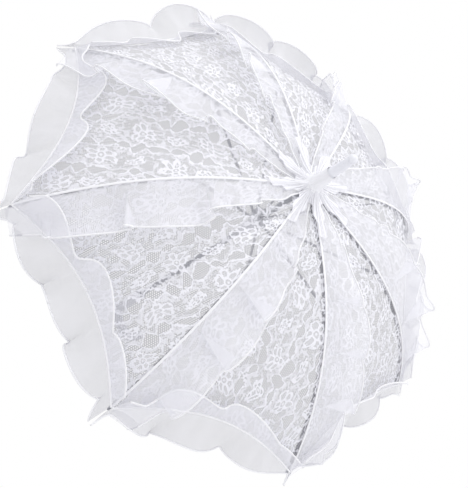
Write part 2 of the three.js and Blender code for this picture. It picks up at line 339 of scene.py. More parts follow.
def hexagon_net(g, cloth):
    """A net of six-sided holes, from three waves at 60 degrees to each other."""
    x, y, _ = g.split(cloth)
    pitch = 2 * math.pi / NET_PITCH
    slant = g.math("MULTIPLY", x, pitch * 0.5)
    level = g.math("COSINE", g.math("MULTIPLY", x, pitch))
    rising = g.math("COSINE", g.math("MULTIPLY_ADD", y, pitch * SINE_60, slant))
    falling = g.math("COSINE", g.math("SUBTRACT", g.math("MULTIPLY", y, pitch * SINE_60), slant))
    total = g.math("ADD", g.math("ADD", level, rising), falling)
    return g.ramp(total, -0.2, 0.9, 1.0, 0.0)


def lace_pattern():
    """Rows of flowers and buds between chains of open eyes, on a hexagonal net, in metres of cloth."""

    def build(g, given):
        cloth = given["Cloth"]
        u, v, _ = g.split(wander(g, cloth, 26.0, 1.0, LACE_SWAY))
        row = g.math("DIVIDE", u, LACE_ROW)
        across = g.math("MULTIPLY", g.math("SUBTRACT", g.math("FRACT", row), 0.5), LACE_ROW)
        stagger = g.math("FRACT", g.math("MULTIPLY", g.math("FLOOR", row), 0.5))
        spot = g.math("ADD", g.math("DIVIDE", v, LACE_REPEAT), stagger)
        along = g.math("MULTIPLY", g.math("SUBTRACT", g.math("FRACT", spot), 0.5), LACE_REPEAT)
        rough = g.math("MULTIPLY_ADD", g.noise(cloth, 300.0, 2.0, dims="2D"), LACE_ROUGH, -LACE_ROUGH / 2)
        flower, flower_edge = blossom(g, across, along, rough, 0.0, **FLOWER)
        bud, bud_edge = blossom(g, across, along, rough, LACE_REPEAT / 2, **BUD)
        other_bud, other_edge = blossom(g, across, along, rough, -LACE_REPEAT / 2, **BUD)
        blooms = g.math("MAXIMUM", flower, g.math("MAXIMUM", bud, other_bud))
        near = g.math("MINIMUM", flower_edge, g.math("MINIMUM", bud_edge, other_edge))
        cords, window = chain(g, cloth, v, across, rough)
        outside = g.math("MULTIPLY", g.ramp(near, 0.0009, 0.0020), g.math("SUBTRACT", 1.0, window))
        fill = g.math("MULTIPLY", g.math("MULTIPLY", veins(g, cloth), outside), 0.80)
        work = g.math("MAXIMUM", g.math("MAXIMUM", blooms, fill), cords, clamp=True)
        net = hexagon_net(g, cloth)
        height = g.math("MULTIPLY_ADD", net, 0.35, work)
        return {"Work": work, "Net": net, "Height": height}

    return group(
        "Lace Pattern",
        [("Cloth", VECTOR)],
        [("Work", FLOAT), ("Net", FLOAT), ("Height", FLOAT)],
        build,
    )


# ---------------------------------------------------------------- shared effects
def crinkle():
    """Soft creases, long crimps and the open plain weave of sheer cloth, in metres of cloth."""

    def build(g, given):
        cloth = given["Cloth"]
        folds = g.noise(g.vector("MULTIPLY", cloth, (1.0, 0.30, 1.0)), 42.0, 3.0, dims="2D")
        crimp = g.noise(g.vector("MULTIPLY", cloth, (1.0, 0.06, 1.0)), 420.0, 1.0, dims="2D")
        u, v, _ = g.split(cloth)
        pitch = 2 * math.pi / WEAVE_PITCH
        warp = g.math("SINE", g.math("MULTIPLY", u, pitch))
        weft = g.math("SINE", g.math("MULTIPLY", v, pitch))
        threads = g.ramp(g.math("MAXIMUM", warp, weft), 0.1, 0.5)
        height = g.math("MULTIPLY_ADD", crimp, 0.10, folds)
        return {"Folds": folds, "Threads": threads, "Height": height}

    return group(
        "Sheer Crinkle",
        [("Cloth", VECTOR)],
        [("Folds", FLOAT), ("Threads", FLOAT), ("Height", FLOAT)],
        build,
    )


def wear():
    """Faint smudges and fine scratches on hard parts."""

    def build(g, given):
        place = given["Place"]
        smudge = g.ramp(g.noise(place, 24.0, 4.0), 0.42, 0.68)
        fine = g.noise(g.vector("MULTIPLY", place, (1.0, 1.0, 0.06)), 900.0, 2.0)
        height = g.math("MULTIPLY_ADD", fine, 0.4, g.math("MULTIPLY", smudge, 0.1))
        return {"Smudge": smudge, "Height": height}

    return group("Hard Wear", [("Place", VECTOR)], [("Smudge", FLOAT), ("Height", FLOAT)], build)


# ---------------------------------------------------------------- materials
def new_material(name):
    material = bpy.data.materials.new(name)
    material.use_nodes = True
    shader = material.node_tree.nodes["Principled BSDF"]
    return material, Graph(material.node_tree), shader


def bump(g, shader, height, distance, strength):
    normal = g.add("ShaderNodeBump", {"Height": height, "Distance": distance, "Strength": strength})
    g.links.new(normal, shader.inputs["Normal"])


def lace_material():
    canopy = settings().canopy
    material, g, shader = new_material("white_floral_lace")
    cloth = g.add("ShaderNodeUVMap", uv_map="cloth")
    made = use(g, lace_pattern(), {"Cloth": cloth})
    # between the worked motifs the lace takes the net's painted-shade grey
    tone = g.mix(made["Work"], (*canopy.net_painted_shade_color, 1.0), (*canopy.lace_color, 1.0))
    patch = g.ramp(g.noise(cloth, 9.0, 2.0, dims="2D"), 0.35, 0.70)
    shade = g.mix(g.math("MULTIPLY", patch, 0.10), tone, (0.80, 0.81, 0.86, 1.0))
    g.links.new(shade, shader.inputs["Base Color"])
    open_net = g.math("MULTIPLY_ADD", made["Net"], 0.72, 0.14)
    bare = g.math("MULTIPLY", open_net, g.math("SUBTRACT", 1.0, made["Work"]))
    cover = g.math("MULTIPLY_ADD", made["Work"], 0.97, bare, clamp=True)
    g.links.new(cover, shader.inputs["Alpha"])
    rough = g.math("MULTIPLY_ADD", made["Work"], -0.15, 0.85)
    g.links.new(rough, shader.inputs["Roughness"])
    shader.inputs["Sheen Weight"].default_value = 0.25
    bump(g, shader, made["Height"], 0.0006, 0.8)
    return material


def organza_material(name, color, inner, holes, threads):
    """Sheer cloth: inner is its colour on the side of the cloth where its second coordinate is under 0."""
    material, g, shader = new_material(name)
    cloth = g.add("ShaderNodeUVMap", uv_map="cloth")
    made = use(g, crinkle(), {"Cloth": cloth})
    _, v, _ = g.split(cloth)
    tone = g.mix(g.ramp(v, -2 * MM, 2 * MM), (*inner, 1.0), (*color, 1.0))
    # painted highlight: the organza's colour turns paler along the raised creases, where the bump lifts the cloth
    pale = g.mix(g.ramp(made["Folds"], 0.35, 0.70), tone, (0.97, 0.97, 1.0, 1.0))
    g.links.new(g.mix(0.25, tone, pale), shader.inputs["Base Color"])
    streak = g.math("MULTIPLY", g.math("SUBTRACT", made["Folds"], 0.5), 0.25)
    weave = g.math("MULTIPLY_ADD", made["Threads"], threads - holes, holes)
    g.links.new(g.math("ADD", weave, streak, clamp=True), shader.inputs["Alpha"])
    g.links.new(g.math("MULTIPLY_ADD", made["Folds"], -0.2, 0.62), shader.inputs["Roughness"])
    shader.inputs["Sheen Weight"].default_value = 0.35
    bump(g, shader, made["Height"], 0.0014, 0.5)
    return material


def thread_material():
    """Thread laid in slanting turns round a cord: the first coordinate goes round it, the second along."""
    frill = settings().frill
    material, g, shader = new_material("merrowed_thread")
    cloth = g.add("ShaderNodeUVMap", uv_map="cloth")
    u, v, _ = g.split(cloth)
    round_cord = g.math("MULTIPLY", u, 2 * math.pi)
    twist = g.math("SINE", g.math("MULTIPLY_ADD", v, 2 * math.pi / TWIST_PITCH, round_cord))
    # painted shade: the thread turns darker in the grooves between its turns, where the bump sinks
    dark = tuple(c * 0.94 for c in frill.thread_color)
    tone = g.mix(g.ramp(twist, -0.6, 0.6), (*dark, 1.0), (*frill.thread_color, 1.0))
    g.links.new(tone, shader.inputs["Base Color"])
    g.links.new(g.math("MULTIPLY_ADD", twist, 0.08, 0.55), shader.inputs["Roughness"])
    shader.inputs["Sheen Weight"].default_value = 0.3
    bump(g, shader, twist, 0.00006, 0.5)
    return material


def hard_material(name, color, metallic, low, high, coat, dark):
    """Metal or moulded plastic; smudges take its roughness from low to high and dull its colour."""
    material, g, shader = new_material(name)
    place = g.add("ShaderNodeTexCoord", out=3)
    made = use(g, wear(), {"Place": place})
    dull = tuple(c * dark for c in color)
    tone = g.mix(g.math("MULTIPLY", made["Smudge"], 0.5), (*color, 1.0), (*dull, 1.0))
    g.links.new(tone, shader.inputs["Base Color"])
    g.links.new(g.math("MULTIPLY_ADD", made["Smudge"], high - low, low), shader.inputs["Roughness"])
    shader.inputs["Metallic"].default_value = metallic
    shader.inputs["Coat Weight"].default_value = coat
    bump(g, shader, made["Height"], 0.0001, 0.25)
    return material


# name, colour, metallic, least and most roughness, coat, share of the colour left under smudges
HARD_FINISHES = {
    "chrome": ("plated_tube", (0.24, 0.25, 0.27), 1.0, 0.14, 0.30, 0.0, 0.9),
    "dark_steel": ("dark_plated_wire", (0.08, 0.08, 0.088), 0.8, 0.28, 0.46, 0.0, 0.8),
    "grey_steel": ("grey_plated_wire", (0.36, 0.36, 0.38), 1.0, 0.30, 0.48, 0.0, 0.8),
    "plastic": ("white_moulded_plastic", (0.88, 0.885, 0.92), 0.0, 0.22, 0.38, 0.3, 0.95),
}
# painted light: the rosette's gathered organza is whiter than the frills' organza, as if more light fell on it at
# the apex
GATHERED_PAINTED_BRIGHT = (0.975, 0.975, 0.99)
# painted shade: the rim frill past the hem hangs away from the light, so its copy of the organza is darkened to
# these shares
SKIRT_PAINTED_SHADE = (0.58, 0.58, 0.60)  # the rim frill past the hem, as shares of the organza's colour
MATERIALS = {}


def sheer_finishes():
    """Name, colour, colour inside the hem, and how much the holes and the threads of the weave cover."""
    organza = tuple(settings().frill.organza_color)
    skirt = tuple(c * share for c, share in zip(organza, SKIRT_PAINTED_SHADE))
    return {
        "organza": ("sheer_organza", organza, organza, 0.05, 0.60),
        "rim_organza": ("sheer_organza_rim_shaded_skirt", skirt, organza, 0.12, 0.78),
        "gathered": ("gathered_organza_painted_bright", GATHERED_PAINTED_BRIGHT, GATHERED_PAINTED_BRIGHT, 0.80, 0.98),
        "gathered_sheer": ("gathered_sheer", organza, organza, 0.45, 0.92),
    }


def make_material(kind):
    if kind == "lace":
        return lace_material()
    if kind == "thread":
        return thread_material()
    if kind in HARD_FINISHES:
        return hard_material(*HARD_FINISHES[kind])
    return organza_material(*sheer_finishes()[kind])


def material(kind):
    """The material of that kind, made the first time that a piece asks for it."""
    if kind not in MATERIALS:
        MATERIALS[kind] = make_material(kind)
    return MATERIALS[kind]


# ---------------------------------------------------------------- mesh helpers
def mesh_piece(name, points, faces, uvs, kind):
    """A new object from points, faces and one cloth coordinate per point."""
    data = bpy.data.meshes.new(name)
    data.from_pydata([tuple(p) for p in points], [], [tuple(int(i) for i in f) for f in faces])
    layer = data.uv_layers.new(name="cloth")
    corners = np.zeros(len(data.loops), np.int32)
    data.loops.foreach_get("vertex_index", corners)
    layer.data.foreach_set("uv", np.asarray(uvs, np.float32)[corners].ravel())
    data.polygons.foreach_set("use_smooth", np.ones(len(data.polygons), bool))
    data.materials.append(material(kind))
    data.update()
    piece = bpy.data.objects.new(name, data)
    bpy.context.scene.collection.objects.link(piece)
    return piece


def grid_piece(name, points, cloth, kind, flip=False):
    """A sheet from a grid of points (rows, columns, 3) and their cloth coordinates (rows, columns, 2)."""
    rows, columns = points.shape[:2]
    index = np.arange(rows * columns).reshape(rows, columns)
    a, b, c, d = index[:-1, :-1], index[1:, :-1], index[1:, 1:], index[:-1, 1:]
    faces = np.stack([a, d, c, b] if flip else [a, b, c, d], -1).reshape(-1, 4)
    return mesh_piece(name, points.reshape(-1, 3), faces, cloth.reshape(-1, 2), kind)


def tube_piece(name, line, radius, kind, sides=6, lay=(0.31, 0.22, 0.93), flat=1.0):
    """A closed cord along a line of points; flat squeezes its section along lay, the way it faces."""
    line = np.asarray(line, float)
    tangent = np.gradient(line, axis=0)
    tangent /= np.linalg.norm(tangent, axis=1, keepdims=True)
    side = np.cross(tangent[0], lay)
    points = []
    uvs = []
    along = 0.0
    for i, (p, t) in enumerate(zip(line, tangent)):
        side = side - t * (side @ t)
        side /= np.linalg.norm(side)
        up = np.cross(t, side)
        if i:
            along += float(np.linalg.norm(p - line[i - 1]))
        for j in range(sides):
            a = 2 * math.pi * j / sides
            points.append(p + radius * (math.cos(a) * side + flat * math.sin(a) * up))
            uvs.append((j / sides, along))
    faces = []
    for i in range(len(line) - 1):
        for j in range(sides):
            k = (j + 1) % sides
            faces.append((i * sides + j, i * sides + k, (i + 1) * sides + k, (i + 1) * sides + j))
    last = (len(line) - 1) * sides
    faces.append(tuple(reversed(range(sides))))
    faces.append(tuple(range(last, last + sides)))
    return mesh_piece(name, points, faces, uvs, kind)


def unit(v):
    return v / np.maximum(np.linalg.norm(v, axis=-1, keepdims=True), 1e-12)


# ---------------------------------------------------------------- the canopy's surface
def rib_angle(k):
    return FIRST_RIB + STEP * (k % RIBS)


def dome_z(r):
    canopy = settings().canopy
    return APEX_Z - canopy.rise * (r / canopy.rim_radius) ** canopy.dome_power


def lace_point(k, side, t, v):
    """The cloth at share t out along rib k and share v from its seam to the gore's middle, on one side."""
    canopy = settings().canopy
    t, v = np.broadcast_arrays(np.asarray(t, float), np.asarray(v, float))
    r = canopy.rim_radius * t
    x = r * (1 - (1 - math.cos(STEP)) * v / 2)
    y = r * math.sin(STEP) * v / 2 * side
    z = dome_z(r) - canopy.sag * v * (2 - v) * np.sin(np.clip(t, 0, 1) * math.pi)
    a = rib_angle(k)
    c, s = math.cos(a), math.sin(a)
    return np.stack([x * c - y * s, x * s + y * c, z - 0.5 * MM], -1)


def lace_frame(k, side, t, v):
    """Point, way out along the cloth, way across it and outward normal."""
    step = 1e-3
    p = lace_point(k, side, t, v)
    out = unit(lace_point(k, side, np.asarray(t) + step, v) - lace_point(k, side, np.asarray(t) - step, v))
    across = lace_point(k, side, t, np.asarray(v) + step) - lace_point(k, side, t, np.asarray(v) - step)
    across = unit(across - out * (across * out).sum(-1, keepdims=True))
    normal = unit(np.cross(out, across) * side)
    return p, out, across, normal


def hem_share(v):
    return 1 - settings().canopy.hem_dip * v * (2 - v)


def fold(piece, k):
    """Bake the piece's place into its points; the rib's hinge, root, is worked out but not used."""
    a = rib_angle(k)
    root = Vector((math.cos(a), math.sin(a), 0.0)) * RIB_ROOT.xy.length
    root.z = RIB_ROOT.z
    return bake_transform(piece)


def half_name(k, side):
    return f"{k + 1}_left" if side > 0 else f"{(k - 1) % RIBS + 1}_right"


def cloth_place(k, side, t, v):
    """Metres of cloth: across from the gore's middle, and out from the apex."""
    canopy = settings().canopy
    gore = k if side > 0 else (k - 1) % RIBS
    r = canopy.rim_radius * t
    across = -side * (1 - v) * r * math.sin(STEP / 2)
    steps = np.linspace(0, 1.2, 200) * canopy.rim_radius
    length = np.concatenate([[0], np.cumsum(np.hypot(np.diff(steps), np.diff(dome_z(steps))))])
    return np.stack([across + gore * 0.631, np.interp(r, steps, length) + gore * 0.417], -1)


def lace_half(k, side):
    """Half a gore of lace, from the seam on rib k to the gore's middle, with a faint ripple."""
    rows, columns = 72, 26
    rim_radius = settings().canopy.rim_radius
    inner = LACE_START / rim_radius
    v = np.linspace(0, 1, columns)[None, :]
    share = np.linspace(0, 1, rows)[:, None]
    t = inner + (hem_share(v) - inner) * share
    p, out, across, normal = lace_frame(k, side, t, v)
    uneven = 0.3 + 0.7 * np.sin(v * 9 + k * 2.1)
    ripple = 0.9 * MM * np.sin(t * 31 + k) * np.sin(v * math.pi) * uneven * np.clip(share * 6, 0, 1)
    p = p + normal * ripple[..., None]
    name = half_name(k, side)
    cloth = cloth_place(k, side, t, v)
    piece = grid_piece(f"lace_gore_{name}", p, cloth, "lace", flip=side < 0)
    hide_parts(f"gore_{name}")
    return fold(piece, k)


class PARASOL_OT_lace(Operator):
    """Stretch sixteen half gores of lace between the ribs"""

    bl_idname = "parasol.lace"
    bl_label = "Lace canopy"

    def execute(self, context):
        for k in range(RIBS):
            for side in (1, -1):
                lace_half(k, side)
        return {"FINISHED"}


# ---------------------------------------------------------------- frills
def waves(x, count, seed, wobble):
    """An uneven phase: count waves over x from 0 to 1, the same at both ends."""
    draw = np.random.default_rng(seed)
    phase = 2 * math.pi * count * x
    for m in (1, 2, 3):
        phase = phase + wobble * count / m * np.sin(2 * math.pi * m * x + draw.uniform(0, 2 * math.pi))
    return phase + draw.uniform(0, 2 * math.pi)


def slow(x, seed, terms=3):
    """A smooth curve from -1 to 1 that repeats over x from 0 to 1."""
    draw = np.random.default_rng(seed)
    total = np.zeros_like(x)
    for m in range(1, terms + 1):
        size = draw.uniform(0.5, 1.0) / m
        total = total + size * np.sin(2 * math.pi * m * x + draw.uniform(0, 2 * math.pi))
    return np.clip(total / 1.6, -1, 1)


def pleats(x, count, seed, least, most):
    """Columns of a phase with count uneven waves over x from 0 to 1, and of each wave's own size."""
    draw = np.random.default_rng(seed)
    ends = np.cumsum(draw.uniform(0.7, 1.3, count + 2))
    ends = (ends - ends[0] * draw.uniform(0, 1)) / (ends[-1] - ends[0])
    phase = 2 * math.pi * np.interp(x, ends, np.arange(count + 2))
    centres = 2 * math.pi * (np.arange(count + 2) + 0.5)
    size = np.interp(phase, centres, draw.uniform(least, most, count + 2))
    return phase[:, None], size[:, None]


def seam_frill(k):
    """A strip sewn along the seam on rib k; it lies over the next gore in flat folds that double back."""
    frill, canopy = settings().frill, settings().canopy
    columns, rows = 260, 18
    s = np.linspace(0, 1, columns)
    q = np.linspace(0, 1, rows)[None, :]
    t = (FRILL_START + (FRILL_END - FRILL_START) * s)[:, None]
    p, out, across, normal = lace_frame(k, 1, t, np.full_like(t, 0.02))
    # the strip widens over its upper half, and its folds die away towards both ends
    grown = np.clip(s / 0.50, 0, 1) ** 0.8
    free = (grown**1.4 * np.clip((1 - s) / 0.06, 0, 1))[:, None]
    phase, size = pleats(s, 4, 60 + k, 0.012, 0.034)
    ruffle, fine = pleats(s, 10, 160 + k, 0.002, 0.006)
    width = frill.seam_width * (0.16 + 0.84 * grown)[:, None] * (1 + 0.10 * slow(s, 40 + k)[:, None])
    width = width * (1 - 0.35 * np.clip((s - 0.90) / 0.10, 0, 1)[:, None])
    tilt = np.radians(FRILL_TILT[k] * np.sin(s * math.pi) ** 0.5 + 8 * slow(s, 80 + k))[:, None]
    # broad folds swing along the seam and lie in layers; small ruffles wave the free edge
    swing = 0.70 * q**0.3 + 0.30 * q
    along = free * size * swing * np.sin(phase)
    layer = free * size * 0.22 * swing * (1 + np.sin(phase))
    along = along + free * fine * 0.8 * q**2 * np.sin(ruffle)
    layer = layer + free * fine * q**1.5 * (1 + np.cos(ruffle))
    reach = width * q * (np.cos(tilt) + 2.6 * free * size * q * np.cos(phase + 0.6))
    height = 1.6 * MM * (1 + q) + width * q * np.sin(tilt) + layer
    points = p + out * along[..., None] + across * reach[..., None] + normal * height[..., None]
    cut = 0.44 * canopy.rim_radius / 0.350
    cloth = np.stack(np.broadcast_arrays(s[:, None] * cut, width * q), -1)
    piece = grid_piece(f"seam_frill_{k + 1}", points, cloth + k * 0.73, "organza", flip=True)
    edge = tube_piece(f"seam_frill_edge_{k + 1}", points[:, -1], frill.edge_radius, "thread")
    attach(piece, f"rib_{k + 1}")
    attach(edge, f"rib_{k + 1}")


SKIRT_ROWS = 16
HEADING_ROWS = 10
HEM_LIFT = 1.2 * MM  # the strip's seam above the lace


def near_rib(v):
    """How freely the rim frill swings: about a third at a rib, and fully a little way from it."""
    return (0.35 + 0.65 * np.clip(v / 0.12, 0, 1))[:, None]


def rim_skirt(at, x, v):
    """The rim frill past the hem: narrow at a rib, pointed on it, and raised on one side of the canopy."""
    p, out, around, normal = at
    from_rib = np.clip(v / 0.55, 0, 1)
    away = (np.sin(from_rib * math.pi / 2) ** 1.5)[:, None]
    still = near_rib(v)
    phase = waves(x, 22, 7, 0.21)[:, None]
    strength = (1.0 + 0.6 * slow(x, 23, 14))[:, None]
    big = slow(x, 11, 9)[:, None]
    q = np.linspace(0, 1, SKIRT_ROWS)[None, :]
    point = 0.46 * np.exp(-((v / 0.055) ** 2))[:, None]
    raised = np.clip(np.cos(FIRST_RIB + x * 2 * math.pi - RAISED_SIDE), 0, 1)[:, None] ** 0.6
    width = settings().frill.rim_width * (0.24 + 0.80 * away + point) * (1 + 0.20 * big + 0.10 * raised)
    droop = np.radians(8 + 36 * raised + 14 * big + 18 * still * np.cos(phase + 0.9)) * q**0.35
    shift = 17 * MM * still * strength * (0.45 * q**0.5 + 0.55 * q) * np.sin(phase)
    rise = 9 * MM * still * strength * q * np.sin(phase + 0.4)
    reach = width * q * np.cos(droop)
    height = width * q * np.sin(droop) + rise + HEM_LIFT
    return p + out * reach[..., None] + around * shift[..., None] + normal * height[..., None]


def rim_heading(at, x, v):
    """The rim frill's heading, which stands up inside the hem; its free edge comes first."""
    p, out, around, normal = at
    phase = waves(x, 20, 9, 0.12)[:, None]
    lean = np.radians(20 + 18 * slow(x, 13, 12))[:, None]
    q = np.linspace(1, 0, HEADING_ROWS)[None, :-1]
    width = settings().frill.heading * (1 + 0.16 * slow(x, 17, 15)[:, None])
    bold = near_rib(v) * (0.9 + 0.5 * slow(x, 29, 13)[:, None])
    shift = 12 * MM * bold * (0.2 * q**0.5 + 0.8 * q**1.2) * np.sin(phase)
    rise = 4.5 * MM * bold * q * (1 + np.sin(phase))
    inward = width * q * (np.cos(lean) + 0.30 * bold * q * np.cos(phase + 0.7))
    height = width * q * np.sin(lean) + rise + HEM_LIFT
    return p - out * inward[..., None] + around * shift[..., None] + normal * height[..., None]


def rim_frill(k, side):
    """Half a gore's stretch of the strip sewn round the hem: a frill outside it and a heading inside it."""
    frill, canopy = settings().frill, settings().canopy
    v = np.linspace(0, 1, 90)
    gore = k if side > 0 else (k - 1) % RIBS
    x = (gore + (v / 2 if side > 0 else 1 - v / 2)) / RIBS
    p, out, across, normal = lace_frame(k, side, hem_share(v)[:, None], v[:, None])
    at = p, out, across * side, normal
    points = np.concatenate([rim_heading(at, x, v), rim_skirt(at, x, v)], axis=1)
    chord = 2 * canopy.rim_radius * math.sin(STEP / 2)
    u = (x * RIBS * chord * 1.2)[:, None]
    inside = -frill.heading * np.linspace(1, 0, HEADING_ROWS)[:-1]
    past = frill.rim_width * np.linspace(0, 1, SKIRT_ROWS)
    cloth = np.stack(np.broadcast_arrays(u, np.concatenate([inside, past])[None, :]), -1)
    name = half_name(k, side)
    piece = grid_piece(f"rim_frill_{name}", points, cloth, "rim_organza", flip=side > 0)
    hem = p[:, 0] + normal[:, 0] * 1.5 * MM
    edges = [
        tube_piece(f"rim_frill_edge_{name}", points[:, -1], frill.edge_radius, "thread"),
        tube_piece(f"rim_heading_edge_{name}", points[:, 0], frill.edge_radius, "thread"),
        tube_piece(f"hem_cord_{name}", hem, 1.3 * MM, "thread"),
    ]
    for part in [piece, *edges]:
        fold(part, k)


class PARASOL_OT_seam_frills(Operator):
    """Sew a frill along each of the eight rib seams"""

    bl_idname = "parasol.seam_frills"
    bl_label = "Seam frills"

    def execute(self, context):
        for k in range(RIBS):
            seam_frill(k)
        return {"FINISHED"}


class PARASOL_OT_rim_frills(Operator):
    """Sew a frill with a heading round the whole hem"""

    bl_idname = "parasol.rim_frills"
    bl_label = "Rim frills"

    def execute(self, context):
        for k in range(RIBS):
            for side in (1, -1):
                rim_frill(k, side)
        return {"FINISHED"}


def seam_tape(k):
    """The stitched seam on top of rib k."""
    t = np.linspace(0.03, 1.0, 110)
    p, out, across, normal = lace_frame(k, 1, t, np.zeros_like(t))
    lift = np.cross(out, np.array([-math.sin(rib_angle(k)), math.cos(rib_angle(k)), 0.0]))
    piece = tube_piece(
        f"rib_seam_{k + 1}", p + lift * 0.7 * MM, 1.7 * MM, "thread", 10, lay=lift[0], flat=0.5
    )
    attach(piece, f"rib_{k + 1}")


def gathered(name, a, s, reach, top, count, seed, lift, kind):
    """Pleated cloth round the ferrule over angles a, from its top at share 0 to its edge at share 1."""
    phase = waves(a / (2 * math.pi), count, seed, 0.02)
    pleat = 0.5 + 0.5 * np.cos(phase)
    r = (GATHER_R + (reach - GATHER_R) * s**1.2 + 0.8 * s * pleat) * MM
    z = np.maximum(dome_z(r) - APEX_Z, GATHER_LOW) + APEX_Z + (2.4 + (top - 2.4) * (1 - s) ** 2.2) * MM
    z = z + lift * MM * s**0.7 * pleat
    twist = a + 0.05 * s * np.sin(phase)
    points = np.stack(np.broadcast_arrays(r * np.cos(twist), r * np.sin(twist), z), -1)
    deep = float(np.linalg.norm(np.diff(points, axis=0), axis=-1).sum(0).mean())
    cloth = np.stack(np.broadcast_arrays(a * 14 * MM, 0.001 + s * deep), -1)
    piece = grid_piece(name, points, cloth, kind)
    return piece


def rosette():
    """Cloth gathered round the ferrule's foot: a tongue down each seam, a ruff over them and a neck."""
    s = np.linspace(0, 1, 30)[:, None]
    whole = np.linspace(0, 2 * math.pi, 481)[None, :]
    share = whole / (2 * math.pi)
    ruff_reach = 20 + 3 * slow(share, 5, 7)
    neck_reach = 14.5 + 1.5 * slow(share, 9, 5)
    ruff = gathered("rosette_ruff", whole, s, ruff_reach, 22, 26, 5, 1.5, "gathered")
    neck = gathered("rosette_neck", whole, s, neck_reach, 44, 26, 8, 1.2, "gathered")
    for piece in (ruff, neck):
        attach(piece, "frame")
    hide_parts("rosette")
    for k in range(RIBS):
        tongue(k, s)


def tongue(k, s):
    """A tongue of cloth down the seam on rib k, starting at the crown."""
    near = np.linspace(-0.5, 0.5, 81)[None, :]
    a = rib_angle(k) + (near + 0.06) * STEP
    reach = 27 + 42 * np.cos(near * math.pi) ** 3 * (1 + 0.25 * slow(near + 0.5, 31 + k))
    piece = gathered(f"rosette_tongue_{k + 1}", a, s, reach, 12, 40, 3 + k, 1.4, "gathered_sheer")
    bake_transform(piece)


class PARASOL_OT_trim(Operator):
    """Stitch the rib seams and gather the rosette at the crown"""

    bl_idname = "parasol.trim"
    bl_label = "Seams and rosette"

    def execute(self, context):
        for k in range(RIBS):
            seam_tape(k)
        rosette()
        return {"FINISHED"}


# ---------------------------------------------------------------- hard parts
MERGE = 1e-6  # points closer than this become one
BEVEL_ANGLE = math.radians(30)
SMOOTH_ANGLE = math.radians(40)


def deselect():
    if bpy.context.mode != "OBJECT":
        bpy.ops.object.mode_set(mode="OBJECT")
    bpy.ops.object.select_all(action="DESELECT")


def edit():
    """Go into edit mode with every point selected."""
    bpy.ops.object.mode_set(mode="EDIT")
    bpy.ops.mesh.select_mode(type="VERT")
    bpy.ops.mesh.select_all(action="SELECT")


def first_ring(name, radius, height, segments):
    """A circle of points about the shaft, in edit mode, to extrude from."""
    deselect()
    bpy.ops.mesh.primitive_circle_add(vertices=segments, radius=radius, location=(0, 0, height))
    piece = bpy.context.object
    piece.name = name
    bpy.ops.object.transform_apply(location=True, rotation=True, scale=True)
    edit()
    return piece


def extrude_rings(radius, height, rings, x=0.0, base=0.0):
    """Extrude the selected ring through [radius, height] steps about x, with heights counted from base."""
    for r, z in rings:
        bpy.ops.mesh.extrude_region_move(TRANSFORM_OT_translate={"value": (0, 0, z - height)})
        scale = r / radius
        bpy.ops.transform.resize(value=(scale, scale, 1.0), center_override=(x, 0, base + z))
        radius, height = r, z


def close_up():
    """Merge what meets, turn the faces outwards and leave edit mode."""
    bpy.ops.mesh.select_all(action="SELECT")
    bpy.ops.mesh.remove_doubles(threshold=MERGE)
    bpy.ops.mesh.normals_make_consistent(inside=False)
    bpy.ops.object.mode_set(mode="OBJECT")


def finish(piece, kind, bevel=0.0):
    """Bevel sharp edges, smooth the rest and give the piece its material and slot."""
    if bevel:
        modifier = piece.modifiers.new("edges", "BEVEL")
        modifier.width = bevel
        modifier.segments = 2
        modifier.limit_method = "ANGLE"
        modifier.angle_limit = BEVEL_ANGLE
        bpy.ops.object.modifier_apply(modifier=modifier.name)
    bpy.ops.object.shade_smooth_by_angle(angle=SMOOTH_ANGLE)
    piece.data.materials.clear()
    piece.data.materials.append(material(kind))
    bpy.ops.object.select_all(action="DESELECT")
    return piece


def turned(name, profile, kind, segments=64, closed=False):
    """A round piece about the shaft, from [radius, height] steps that end flat or close on themselves."""
    (radius, height), *rest = profile
    piece = first_ring(name, radius, height, segments)
    if not closed:
        bpy.ops.mesh.edge_face_add()
    extrude_rings(radius, height, rest)
    if not closed:
        bpy.ops.mesh.edge_face_add()
    close_up()
    return finish(piece, kind)


def refined(node, kind, bevel=0.0):
    """A merged copy of a frame part, its edges rounded by bevel, standing for it."""
    deselect()
    data = frame["nodes"][node].data.copy()
    piece = bpy.data.objects.new(f"{node}_finished", data)
    bpy.context.scene.collection.objects.link(piece)
    bpy.context.view_layer.objects.active = piece
    piece.select_set(True)
    edit()
    bpy.ops.mesh.remove_doubles(threshold=2 * MERGE)
    bpy.ops.mesh.dissolve_limited(angle_limit=math.radians(1.0))
    bpy.ops.object.mode_set(mode="OBJECT")
    finish(piece, kind, bevel)
    return stand_for(piece, node)


def stand_for(piece, node):
    """The piece hides that frame part and moves with its body."""
    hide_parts(node)
    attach(piece, BODY_OF[node])
    return piece


def rib_line(r, lift=0.0):
    """Distance from the shaft, height and slope of a rib's middle line, or of a line raised from it."""
    step = 1e-4
    slope = math.atan2(dome_z(r - step) - dome_z(r + step), 2 * step)
    away = lift - RIB_SINK
    return r + away * math.sin(slope), dome_z(r) + away * math.cos(slope), slope


class PARASOL_OT_handle(Operator):
    """Spin the crook handle and turn its collar"""

    bl_idname = "parasol.handle"
    bl_label = "Crook handle"

    def execute(self, context):
        crook_handle()
        grip_collar()
        return {"FINISHED"}


